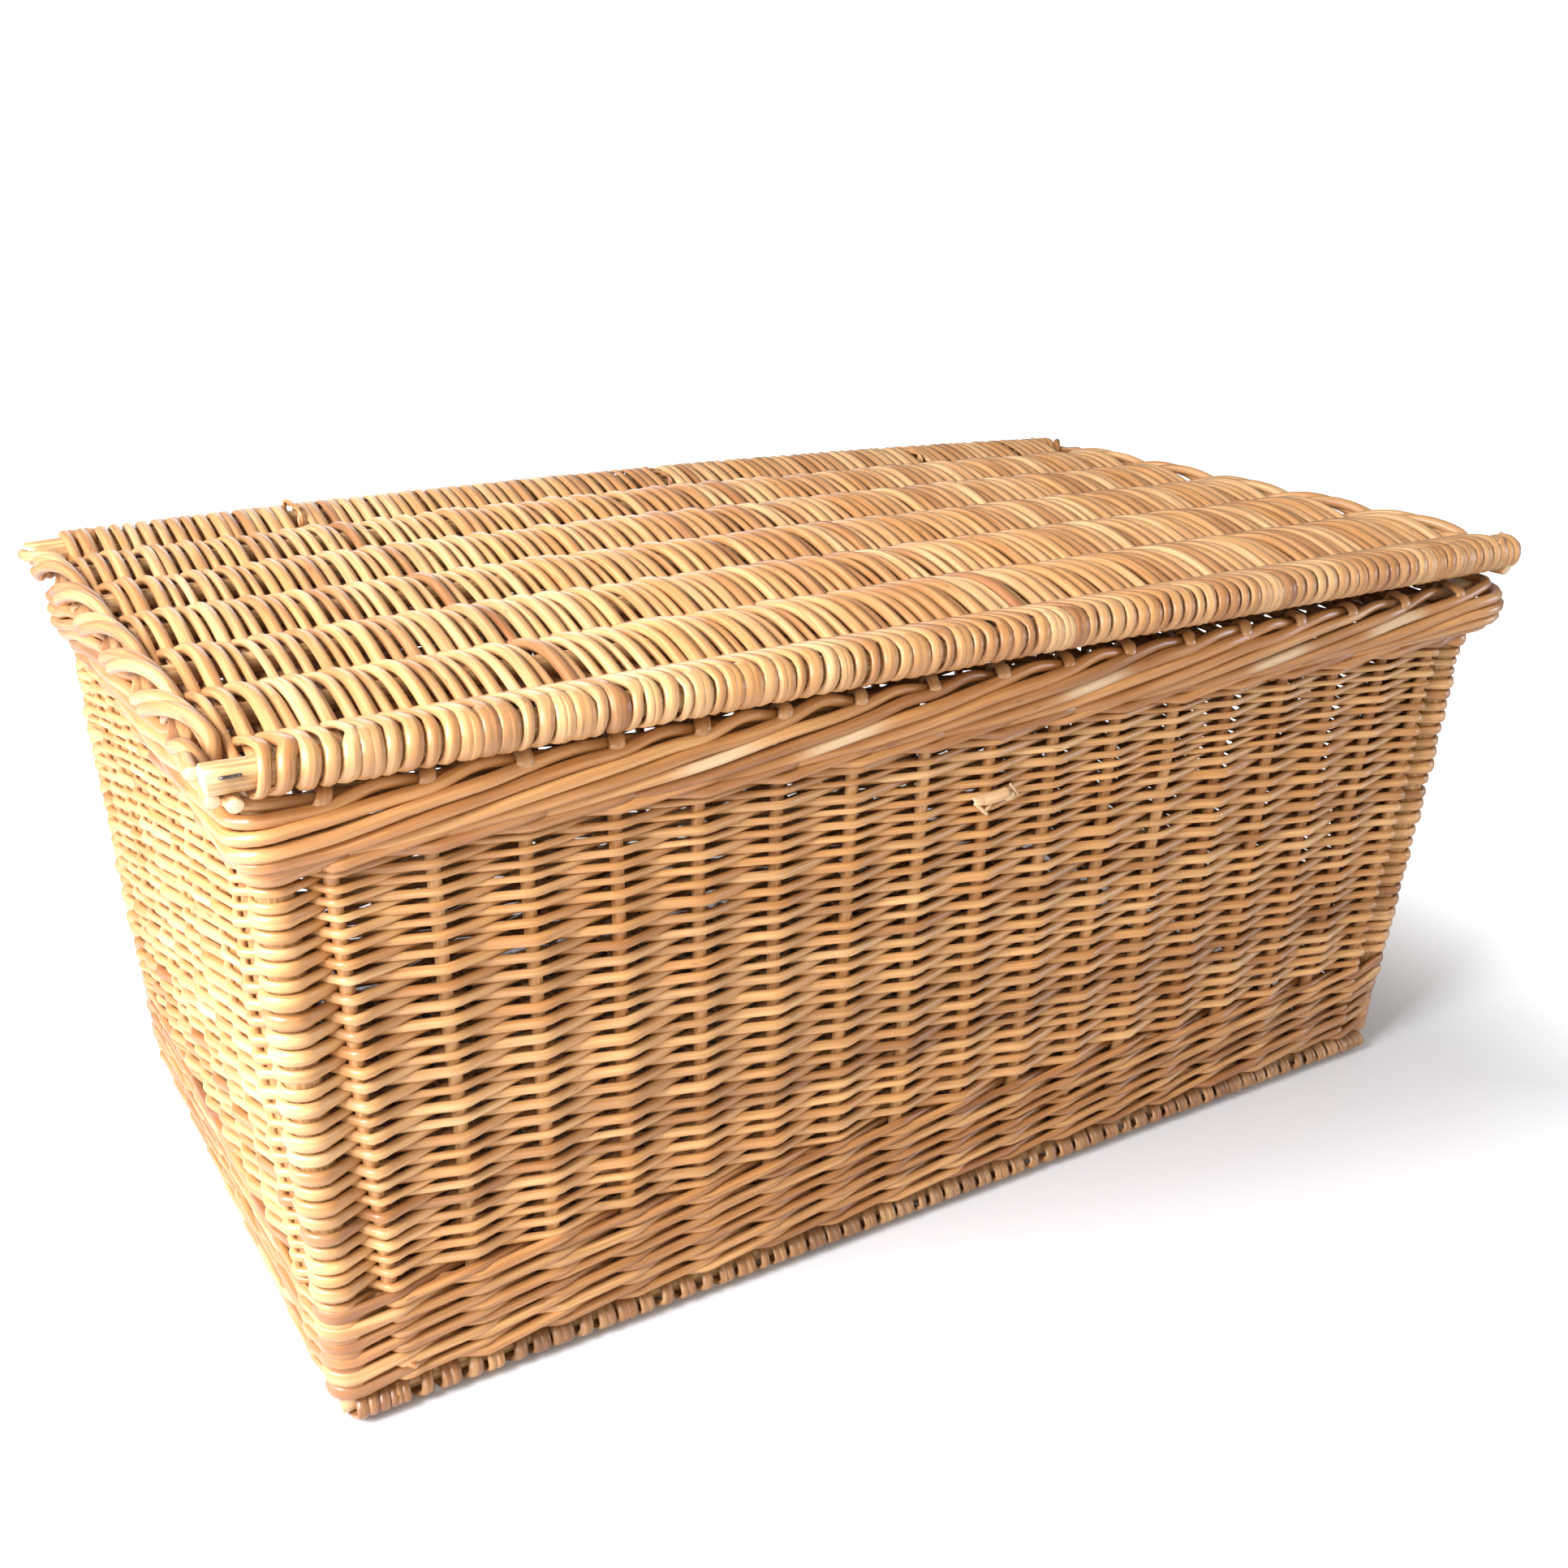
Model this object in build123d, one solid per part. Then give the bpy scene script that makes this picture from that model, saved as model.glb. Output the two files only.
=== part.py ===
"""Laundry hamper of square-work willow: a flared box with posts, stakes and weave, and a hinged flat lid.

Frame: origin at the bottom centre, +X along the length to the right, +Y to the back, +Z up. Millimetres.
Each woven band is a plain closed solid of its true outer shape, with channels for the rods inside it.
"""
import math
import os

from build123d import *

# Driving dimensions
BASE_HALF_LENGTH = 419.0  # the flat base mat
BASE_HALF_WIDTH = 228.0
FOOT_HALF_LENGTH = 424.0  # outer face of the flared wall, carried down to the floor
FOOT_HALF_WIDTH = 232.0
TOP_HALF_LENGTH = 446.0  # outer face of the flared wall where the border starts
TOP_HALF_WIDTH = 246.5
BORDER_HALF_LENGTH = 458.0
BORDER_HALF_WIDTH = 254.0

BASE_TOP = 20.0  # heights of the bands, from the floor up
UPSETT_TOP = 85.0
RAND_TOP = 343.0
WALE_TOP = 356.0
BORDER_TOP = 390.0
LID_AXIS_HEIGHT = 405.0

RAND_THICKNESS = 17.0
UPSETT_THICKNESS = 21.0
WALE_THICKNESS = 22.0
BORDER_THICKNESS = 27.0
UPSETT_PROUD = 3.0  # how far a band stands out of the flare
WALE_PROUD = 4.0
CORNER_RADIUS = 15.0
BORDER_EDGE_RADIUS = 8.0

STAKE_RADIUS = 3.25
STAKE_DEPTH = 8.5  # axis of a stake, in from the outer face of the wall
STAKES_LONG_SIDE = 17
STAKES_SHORT_SIDE = 9
CORNER_TO_STAKE = 41.0  # axis of the last stake, in from the corner of the wall
POST_RADIUS = 10.0
POST_DEPTH = 15.5
POST_BELOW_BORDER_TOP = 4.0

LID_HALF_LENGTH = 460.0
LID_STICK_HALF_SPREAD = 251.0
LID_EDGE_RADIUS = 13.0
LID_OUTER_STICK_RADIUS = 8.0
LID_INNER_STICK_RADIUS = 6.0
LID_WEAVE_HALF_LENGTH = 440.0
LID_TWIST_WIDTH = 25.0
LID_TWIST_TO_OUTER_STICK = 1.0
LID_INNER_STICK_SHORT_OF_TWIST = 3.0

BASE_EDGE_RADIUS = BASE_TOP / 2
BASE_OUTER_STICK_RADIUS = 7.0
BASE_INNER_STICK_RADIUS = 5.5
BASE_WEAVE_HALF_LENGTH = 393.0
BASE_TWIST_WIDTH = 22.0

INNER_STICKS = 5  # between the two outer sticks of the lid, and of the base
FIT = 0.05  # a rod's clearance in its channel
STAKE_END_GAP = 0.6  # a leaning rod's square end stays this far off the band it stops at

LOOP_GAPS = {"left": -5.5, "middle": 0.5, "right": 5.5}  # places along the back, in gaps between stakes
LOOP_CLEARANCE = 0.4  # between the lid's back stick and a loop that it turns in
LOOP_THICKNESS = 4.6
LOOP_INNER_CORNER_RADIUS = 4.0
LOOP_INSIDE_BORDER = 1.5
NOTCH_WIDTH = 6.2
NOTCH_RADIUS = 36.0

NAIL_RADIUS = 0.8
NAIL_CLENCH_LENGTH = 9.0
NAIL_SHANK_DEPTH = 9.0
NAIL_FROM_STICK_END = 6.0
NAIL_ANGLE = 20.0  # above level, on the outward side of its stick

OVERRUN = 5.0  # how far a cutter passes the face that it cuts
SIDES = ("front", "back", "left", "right")
CORNERS = {
    "front_left": (-1, -1),
    "front_right": (1, -1),
    "back_left": (-1, 1),
    "back_right": (1, 1),
}


def flare(height, proud=0.0):
    """Half length and half width of the wall's outer face at a height."""
    share = height / WALE_TOP
    length = FOOT_HALF_LENGTH + (TOP_HALF_LENGTH - FOOT_HALF_LENGTH) * share
    width = FOOT_HALF_WIDTH + (TOP_HALF_WIDTH - FOOT_HALF_WIDTH) * share
    return length + proud, width + proud


def outline(height, halves, radius):
    """A rounded rectangle at a height."""
    sketch = RectangleRounded(2 * halves[0], 2 * halves[1], radius)
    return Pos(0, 0, height) * sketch


def frustum(low, high, low_halves, high_halves, radius):
    """A block with four sloping sides between two heights."""
    faces = [outline(low, low_halves, radius), outline(high, high_halves, radius)]
    return loft(faces, ruled=True)


def band_ring(low, high, thickness, proud):
    """The whole ring of one woven band, before it is parted at its corners."""
    outer = frustum(low, high, flare(low, proud), flare(high, proud), CORNER_RADIUS)
    bottom, top = low - OVERRUN, high + OVERRUN
    inner = frustum(
        bottom,
        top,
        flare(bottom, proud - thickness),
        flare(top, proud - thickness),
        STAKE_RADIUS,
    )
    return outer - inner


def side_quad(side, halves, depth):
    """The plan of one side between its two mitres, from past the outer face to a depth inside."""
    out_x, out_y = halves[0] + OVERRUN, halves[1] + OVERRUN
    in_x, in_y = halves[0] - depth, halves[1] - depth
    front = [(-out_x, -out_y), (out_x, -out_y), (in_x, -in_y), (-in_x, -in_y)]
    left = [(-out_x, -out_y), (-in_x, -in_y), (-in_x, in_y), (-out_x, out_y)]
    plans = {
        "front": front,
        "back": [(x, -y) for x, y in front],
        "left": left,
        "right": [(-x, y) for x, y in left],
    }
    return plans[side]


def side_wedge(side, low, high, low_halves, high_halves, depth):
    """A block that keeps one side of a ring and cuts it off along the mitres."""
    faces = [
        Pos(0, 0, height) * make_face(Polyline(*side_quad(side, halves, depth), close=True))
        for height, halves in ((low, low_halves), (high, high_halves))
    ]
    return loft(faces, ruled=True)


def rod(start, end, radius):
    """A round rod between two points."""
    axis = Vector(*end) - Vector(*start)
    place = Plane(origin=start, z_dir=axis)
    return place * Cylinder(radius, axis.length, align=(Align.CENTER, Align.CENTER, Align.MIN))


def spread(count, last):
    """Evenly spaced places from -last to last."""
    return [last * (2 * i / (count - 1) - 1) for i in range(count)]


def stake_points(side, share, height):
    """Where the axis of a stake is at a height. Its share runs from -1 to 1 along the side."""
    length, width = flare(height)
    along_x = share * (length - CORNER_TO_STAKE)
    along_y = share * (width - CORNER_TO_STAKE)
    return {
        "front": (along_x, STAKE_DEPTH - width, height),
        "back": (along_x, width - STAKE_DEPTH, height),
        "left": (STAKE_DEPTH - length, along_y, height),
        "right": (length - STAKE_DEPTH, along_y, height),
    }[side]


def stakes_of(side, low, high, radius):
    """All the stakes of one side between two heights."""
    count = STAKES_LONG_SIDE if side in ("front", "back") else STAKES_SHORT_SIDE
    return [
        rod(stake_points(side, share, low), stake_points(side, share, high), radius)
        for share in spread(count, 1.0)
    ]


def post_point(corner, height):
    length, width = flare(height)
    along_x, along_y = CORNERS[corner]
    return along_x * (length - POST_DEPTH), along_y * (width - POST_DEPTH), height


def post_of(corner, low, high, radius):
    """The round corner post between two heights."""
    return rod(post_point(corner, low), post_point(corner, high), radius)


def without_rods(body, side, low, high):
    """A wall piece with the channels that the stakes and the corner posts stand in."""
    cutters = stakes_of(side, low - OVERRUN, high + OVERRUN, STAKE_RADIUS + FIT)
    for corner in CORNERS:
        if side in corner.split("_"):
            cutters.append(post_of(corner, low - OVERRUN, high + OVERRUN, POST_RADIUS + FIT))
    for cutter in cutters:
        body -= cutter
    return body


def wall_piece(ring, side, low, high, thickness, proud):
    """One side of a woven band, mitred at both corners and bored for its rods."""
    depth = thickness + POST_DEPTH
    low_halves, high_halves = flare(low, proud), flare(high, proud)
    wedge = side_wedge(side, low, high, low_halves, high_halves, depth)
    return without_rods(ring & wedge, side, low, high)


def band(name, low, high, thickness, proud):
    """The four sides of one woven band, by node name."""
    ring = band_ring(low, high, thickness, proud)
    return {f"{name}_{side}": wall_piece(ring, side, low, high, thickness, proud) for side in SIDES}


def border():
    """The four sides of the thick rolled border, with the posts' tops standing in its corners."""
    halves = (BORDER_HALF_LENGTH, BORDER_HALF_WIDTH)
    inside = (halves[0] - BORDER_THICKNESS, halves[1] - BORDER_THICKNESS)
    outer = frustum(WALE_TOP, BORDER_TOP, halves, halves, CORNER_RADIUS)
    hole = frustum(WALE_TOP - OVERRUN, BORDER_TOP + OVERRUN, inside, inside, STAKE_RADIUS)
    ring = outer - hole
    top_edges = ring.faces().sort_by(Axis.Z)[-1].edges()
    ring = fillet(top_edges, BORDER_EDGE_RADIUS)
    for corner in CORNERS:
        ring -= post_of(corner, WALE_TOP - OVERRUN, BORDER_TOP + OVERRUN, POST_RADIUS + FIT)
    return {
        f"border_{side}": ring
        & side_wedge(side, WALE_TOP, BORDER_TOP, halves, halves, BORDER_THICKNESS + OVERRUN)
        for side in SIDES
    }


def corner_posts():
    top = BORDER_TOP - POST_BELOW_BORDER_TOP
    low = BASE_TOP + 2 * STAKE_END_GAP
    return {f"corner_post_{corner}": post_of(corner, low, top, POST_RADIUS) for corner in CORNERS}


def stakes():
    """The stakes of each side, as one group of separate rods from the base up to the border."""
    low, high = BASE_TOP + STAKE_END_GAP, WALE_TOP - STAKE_END_GAP
    return {
        f"stakes_{side}": Compound(children=stakes_of(side, low, high, STAKE_RADIUS))
        for side in SIDES
    }


def mat_profile(half_spread, radius, start, end):
    """A mat with two rounded long edges, from one place along X to another."""
    sketch = Plane.YZ.offset(start) * SlotCenterToCenter(2 * half_spread, 2 * radius)
    return extrude(sketch, end - start)


def stick(along_y, height, half_length, radius):
    return rod((-half_length, along_y, height), (half_length, along_y, height), radius)


def stick_rows(half_spread, outer_radius, inner_radius):
    """The place across the mat and the radius of each stick, by its short name."""
    places = spread(INNER_STICKS + 2, half_spread)
    rows = {"front_stick": (places[0], outer_radius), "back_stick": (places[-1], outer_radius)}
    for number, place in enumerate(places[1:-1], start=1):
        rows[f"stick_{number}"] = (place, inner_radius)
    return rows


def mat(prefix, height, half_spread, edge_radius, rows, lengths, weave_half, twist_width, twist_spread):
    """A flat mat: its sticks, the weave between them, and the twist across each end."""
    parts = {}
    channels = []
    for name, (place, radius) in rows.items():
        parts[f"{prefix}_{name}"] = stick(place, height, lengths[name], radius)
        channels.append(stick(place, height, lengths[name] + OVERRUN, radius + FIT))
    ends = {
        "weave": (-weave_half, weave_half, half_spread),
        "end_twist_left": (-weave_half - twist_width, -weave_half, twist_spread),
        "end_twist_right": (weave_half, weave_half + twist_width, twist_spread),
    }
    for name, (start, end, spread_half) in ends.items():
        body = Pos(0, 0, height) * mat_profile(spread_half, edge_radius, start, end)
        for channel in channels:
            body -= channel
        parts[f"{prefix}_{name}"] = body
    return parts


def base():
    """The flat base mat. Its underside is the face that the hamper stands on."""
    spread_half = BASE_HALF_WIDTH - BASE_EDGE_RADIUS
    rows = stick_rows(spread_half, BASE_OUTER_STICK_RADIUS, BASE_INNER_STICK_RADIUS)
    lengths = dict.fromkeys(rows, BASE_HALF_LENGTH)
    return mat(
        "base",
        BASE_TOP / 2,
        spread_half,
        BASE_EDGE_RADIUS,
        rows,
        lengths,
        BASE_WEAVE_HALF_LENGTH,
        BASE_TWIST_WIDTH,
        spread_half,
    )


def loop_places():
    """Where each hinge loop is along X: between two stakes of the back, by its short name."""
    stake_pitch = 2 * (TOP_HALF_LENGTH - CORNER_TO_STAKE) / (STAKES_LONG_SIDE - 1)
    return {name: gaps * stake_pitch for name, gaps in LOOP_GAPS.items()}


def hinge_loop(place):
    """A closed willow loop round the border and the lid's back stick, flat on both."""
    reach = LID_OUTER_STICK_RADIUS + LOOP_CLEARANCE
    back = LID_STICK_HALF_SPREAD + reach
    top = LID_AXIS_HEIGHT + reach
    front = BORDER_HALF_WIDTH - BORDER_THICKNESS - LOOP_INSIDE_BORDER
    bottom = WALE_TOP - LOOP_THICKNESS / 2
    inner = Pos(0, (front + back) / 2, (bottom + top) / 2) * (
        Plane.YZ * RectangleRounded(back - front, top - bottom, LOOP_INNER_CORNER_RADIUS)
    )
    outer = Pos(0, (front + back) / 2, (bottom + top) / 2) * (
        Plane.YZ
        * RectangleRounded(
            back - front + 2 * LOOP_THICKNESS,
            top - bottom + 2 * LOOP_THICKNESS,
            LOOP_INNER_CORNER_RADIUS + LOOP_THICKNESS,
        )
    )
    flat = extrude(outer - inner, LOOP_THICKNESS / 2, both=True)
    return Pos(place, 0, 0) * flat


def loop_notch(place):
    """The slot through the lid's weave that a loop stays clear in while the lid swings."""
    start = (place - NOTCH_WIDTH / 2, LID_STICK_HALF_SPREAD, LID_AXIS_HEIGHT)
    end = (place + NOTCH_WIDTH / 2, LID_STICK_HALF_SPREAD, LID_AXIS_HEIGHT)
    return rod(start, end, NOTCH_RADIUS)


def nail(side, end):
    """A thin nail driven into an outer stick near its end and clenched flat along it."""
    angle = math.radians(NAIL_ANGLE)
    out_y, out_z = side * math.cos(angle), math.sin(angle)
    lying = LID_OUTER_STICK_RADIUS + NAIL_RADIUS
    deep = LID_OUTER_STICK_RADIUS - NAIL_SHANK_DEPTH

    def at(along_x, distance):
        across = side * LID_STICK_HALF_SPREAD + out_y * distance
        return end * along_x, across, LID_AXIS_HEIGHT + out_z * distance

    outer_x = LID_HALF_LENGTH - NAIL_FROM_STICK_END
    inner_x = outer_x - NAIL_CLENCH_LENGTH
    clench = rod(at(inner_x, lying), at(outer_x, lying), NAIL_RADIUS)
    shank = rod(at(outer_x - NAIL_RADIUS, deep), at(outer_x - NAIL_RADIUS, lying), NAIL_RADIUS)
    return clench + shank


def lid():
    """The flat lid mat with the notches for the hinge loops and its four nails."""
    rows = stick_rows(LID_STICK_HALF_SPREAD, LID_OUTER_STICK_RADIUS, LID_INNER_STICK_RADIUS)
    twist_end = LID_WEAVE_HALF_LENGTH + LID_TWIST_WIDTH
    clear_of_stick = LID_OUTER_STICK_RADIUS + LID_TWIST_TO_OUTER_STICK + LID_EDGE_RADIUS
    lengths = dict.fromkeys(rows, twist_end - LID_INNER_STICK_SHORT_OF_TWIST)
    lengths["front_stick"] = lengths["back_stick"] = LID_HALF_LENGTH
    parts = mat(
        "lid",
        LID_AXIS_HEIGHT,
        LID_STICK_HALF_SPREAD,
        LID_EDGE_RADIUS,
        rows,
        lengths,
        LID_WEAVE_HALF_LENGTH,
        LID_TWIST_WIDTH,
        LID_STICK_HALF_SPREAD - clear_of_stick,
    )
    for place in loop_places().values():
        parts["lid_weave"] -= loop_notch(place)
    nails = {(side, end): nail(side, end) for side in (-1, 1) for end in (-1, 1)}
    for (side, _), body in nails.items():
        parts["lid_front_stick" if side < 0 else "lid_back_stick"] -= body
    parts["lid_nails"] = Compound(children=list(nails.values()))
    return parts


def hamper():
    """Every piece of the hamper by its node name."""
    parts = base()
    parts |= corner_posts()
    parts |= stakes()
    parts |= band("upsett", BASE_TOP, UPSETT_TOP, UPSETT_THICKNESS, UPSETT_PROUD)
    parts |= band("rand", UPSETT_TOP, RAND_TOP, RAND_THICKNESS, 0.0)
    parts |= band("top_wale", RAND_TOP, WALE_TOP, WALE_THICKNESS, WALE_PROUD)
    parts |= border()
    for name, place in loop_places().items():
        parts[f"hinge_loop_{name}"] = hinge_loop(place)
        parts["top_wale_back"] -= hinge_loop(place)
    return parts | lid()


os.makedirs("parts", exist_ok=True)
for node, shape in hamper().items():
    export_step(shape, f"parts/{node}.step")
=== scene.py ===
"""Looks of the willow laundry hamper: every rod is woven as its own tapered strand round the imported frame.

Metres throughout, in the frame of the CAD model: +X right along the front, +Y to the back, +Z up.
"""
import math

import bpy
import numpy as np
from mathutils import Matrix, Vector


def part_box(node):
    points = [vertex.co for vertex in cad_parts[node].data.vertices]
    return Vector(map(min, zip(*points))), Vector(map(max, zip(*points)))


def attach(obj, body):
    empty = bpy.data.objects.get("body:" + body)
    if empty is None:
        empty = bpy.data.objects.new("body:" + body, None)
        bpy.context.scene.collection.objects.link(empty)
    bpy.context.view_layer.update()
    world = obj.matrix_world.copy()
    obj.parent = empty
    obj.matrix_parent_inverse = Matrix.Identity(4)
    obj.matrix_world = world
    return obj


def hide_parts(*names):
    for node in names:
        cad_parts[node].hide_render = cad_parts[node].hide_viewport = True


MM = 0.001
SEED = 1871  # every random draw comes from this

# Rods of the wall, as in the frame
POST_RADIUS = 10 * MM
POST_TO_STAKE_LINE = 7 * MM  # a post's axis stands this far inside the line of the stakes
POST_TO_LAST_STAKE = 25.5 * MM
POST_WEAR = (0.96, 1.0)  # the range of a peeled post's radius along it, as a share
STAKE_RADIUS = 4.3 * MM
STAKE_TAPER = (1.05, 0.92)  # shares of it at the bottom and at the top
STAKE_SWAY = 0.4 * MM
STAKES = {"front": 17, "right": 9, "back": 17, "left": 9}
SIDES = tuple(STAKES)  # in the order in which a rod is woven round the hamper
NORMALS = {"front": (0, -1), "right": (1, 0), "back": (0, 1), "left": (-1, 0)}
CORNERS = ("front_right", "back_right", "back_left", "front_left")  # the corner after each side

# Plain weave of the walls
RAND_RADIUS = 3.05 * MM
RAND_PITCH = 5.5 * MM
FINE_RADIUS = 2.5 * MM
FINE_PITCH = 2.9 * MM
FINE_ROWS = 13
ROW_THICKNESS = (0.93, 1.07)
ROD_SPAN = (11, 19)  # shortest and longest rod of the wall, in uprights passed
STRAIGHT_FROM = 0.2  # a rod bends near each upright and runs straight between, from this share of a gap on
FULLNESS = {"front": 0.95, "right": 1.3, "back": 1.3, "left": 1.0}  # radius of each wall's rods, as a share
BULGE = 1.0 * MM  # how far the walls bow outwards at half their height
POST_PRESSED = 0.8  # rods are pressed this thin round the outside of a corner post
POST_TALL = 1.75  # and are this many times as high there
POST_ANGLES = (-0.9, -0.3, 0.3, 0.9)  # where the points of a rod round a post are, in radians
POST_PRESS = 0.98  # how close a rod lies to a post, and to anything else, as a share of the two radii
PRESS = 0.97
RAND_SHARES = ((1.05, 1.28), (0.66, 0.86))  # ranges of a rod's radius at its butt and at its tip, as shares
RAND_JITTER = 0.35 * MM
RAND_CUT_SLANT = 1.4  # how far a cut end slants at most, in radii
RAND_PIECES = 3

# Ends of the walls' rods, past the first and the last upright
TUCKED_REACH = (8 * MM, 17 * MM)
TUCKED_IN = (1 * MM, 3 * MM)  # how far an end is pushed inwards
END_RISE = 0.8 * MM
STANDING_REACH = 0.6  # how long an end that stands out is, as a share of a tucked one
STANDING_OFF = 1.15  # and how far out it comes, as a share of the radii of stake and rod

# Twined bands, with shares as for the plain weave, and the share of the ends that stand out
UPSETT = {
    "node": "upsett",
    "seed": 20,
    "rounds": 6,
    "radius": 2.9 * MM,
    "shares": ((1.0, 1.3), (0.62, 0.9)),
    "standing_out": 0.12,
}
TOP_WALE = {
    "node": "top_wale",
    "seed": 30,
    "rounds": 1,
    "radius": 3.7 * MM,
    "shares": ((0.98, 1.1), (0.8, 0.95)),
    "standing_out": 0.0,
}
WALE_THIRDS = (4, 8)  # a rod passes at least this many times three uprights, and fewer than that
WALE_RISES = (0.0, -0.25, 0.27)  # inside an upright and outside the next two, as shares of a round
WALE_JITTER = 0.7 * MM
WALE_CUT_SLANT = 1.5

# Border: one rod from its foot, up along the outside, over the top and along the inside.
# Stakes passed, millimetres out from the line of the stakes and over the border's top.
BORDER_RADIUS = 4.2 * MM
BORDER_RODS = (0.86, 1.1)  # the range of a rod's radius, as a share
BORDER_STEP = 0.08  # how finely a rod is drawn, in stakes
BORDER_WANDER = 0.6 * MM
BORDER_PATH = (
    (-0.30, -3.0, -46.0),
    (0.00, 2.5, -40.5),
    (1.00, 8.0, -33.0),
    (2.00, 10.4, -25.0),
    (3.00, 10.4, -17.0),
    (3.60, 9.8, -12.6),
    (4.00, 8.4, -10.3),
    (4.50, 5.0, -6.0),
    (5.00, 0.6, -9.6),
    (5.50, -3.6, -11.5),
    (6.20, -7.0, -15.0),
    (7.00, -8.4, -22.0),
)
STRAP_RADIUS = 4.4 * MM  # each stake's head is bent out over the top of the border as a short strap
STRAP_RODS = (0.9, 1.12)
STRAP_BARE = (0.0, 0.2)  # how far their skin is scraped off
STRAP_FLATNESS = 0.45
STRAP_PATH = (
    (0.08, -8.5, -18.0),
    (0.06, -7.2, -9.0),
    (0.04, -3.0, -3.8),
    (0.01, 2.5, -3.2),
    (-0.02, 7.0, -4.4),
    (-0.04, 9.6, -7.2),
    (-0.06, 7.0, -12.0),
)
BORDER_THICKNESS = ((0, 4, 7), (1.0, 0.94, 0.72))  # stakes passed, and the share of the radius there
STRAP_JITTER = (0.007, 0.35, 0.35)  # as in the path: stakes and millimetres
WORN_RODS = (2, 4, 7)  # stakes whose border rod has its skin scraped off along a stretch
WORN_CHANCE = 0.1  # for any other rod
WORN_MIDDLE = (1.6, 2.8)  # where the stretch is, and half its length, in stakes passed
WORN_HALF = 0.5
WORN_BARE = 0.7
RIM_CORNER_RADIUS = 6 * MM
CORNER_DIPS = {"front_right": -5 * MM, "back_right": 4 * MM, "back_left": 8 * MM, "front_left": 1 * MM}
CORNER_FANS = {"front_right": 13 * MM, "back_right": 4 * MM, "back_left": 3 * MM, "front_left": 1 * MM}
CORNER_REACH = 75 * MM  # how far from a corner the border dips and spreads
CORNER_FROM = 10 * MM  # rods this far out spread in full, and the ones further in spread less
CORNER_STAKES = 0.66  # how much of a stake's place a corner's half turn would take up

# A knot of broken ends on the front wall
KNOT_PLACE = (0 * MM, 305 * MM)  # along the wall and above the floor
KNOT_ENDS = (  # along, up, half length and radius in millimetres, and slope of each
    (0, 0, 9, 3.9, 0.08),
    (-11, -0.5, 3, 3.3, 0.1),
    (11, -1.5, 3, 3.0, 0.0),
    (-9, -6.5, 5, 1.2, -0.9),
    (-4, -6, 3.5, 1.1, 0.9),
    (16, 1.5, 3.5, 0.9, -1.2),
)

# Mats
LID_LOOK = {
    "seed": 200,
    "rod_radius": 3.9 * MM,
    "pitch": 4.9 * MM,
    "crossing_flatness": 0.9,  # a rod's thickness over its width where it crosses the mat
    "wrap_flatness": 0.55,  # and where it wraps an outer stick
    "double_turns": 0.3,  # the share of wraps that go round once more than they must
    "coiled_ends": (1,),  # the ends at which a rod is coiled round the outer sticks beside the weave
    "overhang": 0.0,  # how much further out than up the wraps stand from an outer stick
    "twist_radius": 4.0 * MM,
    "twist_spread": 0.85,  # how far along X an end twist swings, as a share of the room in the frame
}
BASE_LOOK = {
    "seed": 400,
    "rod_radius": 3.6 * MM,
    "pitch": 6.9 * MM,
    "crossing_flatness": 0.58,
    "wrap_flatness": 0.52,
    "double_turns": 0.8,
    "coiled_ends": (-1, 1),
    "overhang": 8 * MM,
    "twist_radius": 3.4 * MM,
    "twist_spread": 1.0,
}
SPACING_BY_RADIUS = 0.7  # how far the room between crossings follows the rods' radii
ROD_SHARES = ((0.98, 1.16), (0.58, 0.9))
COIL_PITCH = 1.7  # of the coils beside the weave, in rod radii
COIL_RODS = (0.8, 0.9)
COIL_SWAY = 0.3 * MM
GAP_SHARES = (0, 0.12, 0.32, 0.5, 0.68, 0.88)  # where a rod's way from stick to stick is set out
WEAVE_PARTS = 2  # pieces that a mat's weave is drawn as
WRAP_WIDTH = 1.2  # how much wider a rod is pressed where it turns round an outer stick
WRAP_STEP = math.pi / 4
ROD_LEAN = 1.2 * MM
ROD_DRIFT = 0.6 * MM
STICK_END_SHOWING = 4 * MM
STICK_IN_TWIST = 5 * MM  # how far the inner sticks reach into the end twists
STICK_STEPS = 24
STICK_WEAR = (0.97, 1.0)
STICK_SWAY = 0.2 * MM
TWIST_PHASES = (-22, 22, 158, 202)  # degrees, of each rod of an end twist
TWIST_ENDS = (-7 * MM, -7 * MM, 7 * MM, -3 * MM)  # how far each of them passes the outer sticks' axes
TWIST_STEPS = 160
TWIST_SWAY = 0.5 * MM
TWIST_TAPER = (1.04, 0.92)
TWIST_RUNOUT = (46 * MM, 34 * MM)  # how far before an outer stick's axis they leave, and over what length
LID_LIFTS = {  # at the left, the middle and the right
    "back": (-7 * MM, 3 * MM, -2 * MM),
    "front": (-2 * MM, 2.5 * MM, 7 * MM),
}

# Hinge loops
LOOPS = ("left", "middle", "right")
LOOP_SLACK = 1.2 * MM  # how far a loop stands off its place in the frame, so that the warped lid turns free
LOOP_CORNER = 7 * MM
LOOP_TURNS = 7
LOOP_STEPS = 104
LOOP_STRAND = 0.56  # radius of a strand, as a share of the loop's
LOOP_ROOM = 7.2 * MM  # how far the lid's rods stand off the middle of a loop
PARTED_REACH = (85 * MM, 50 * MM)  # where the rods part before the back stick, and over what length
PARTED_WIDTH = 26 * MM

# Nails
NAIL_RADIUS = 0.8 * MM
NAIL_REACH = 9 * MM  # how far the clenched point reaches in
NAIL_BEND = (8 * MM, 3 * MM)  # from the head to the bend: how far out across the stick, and how far up
NAIL_KNEE = 1.5 * MM

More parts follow.
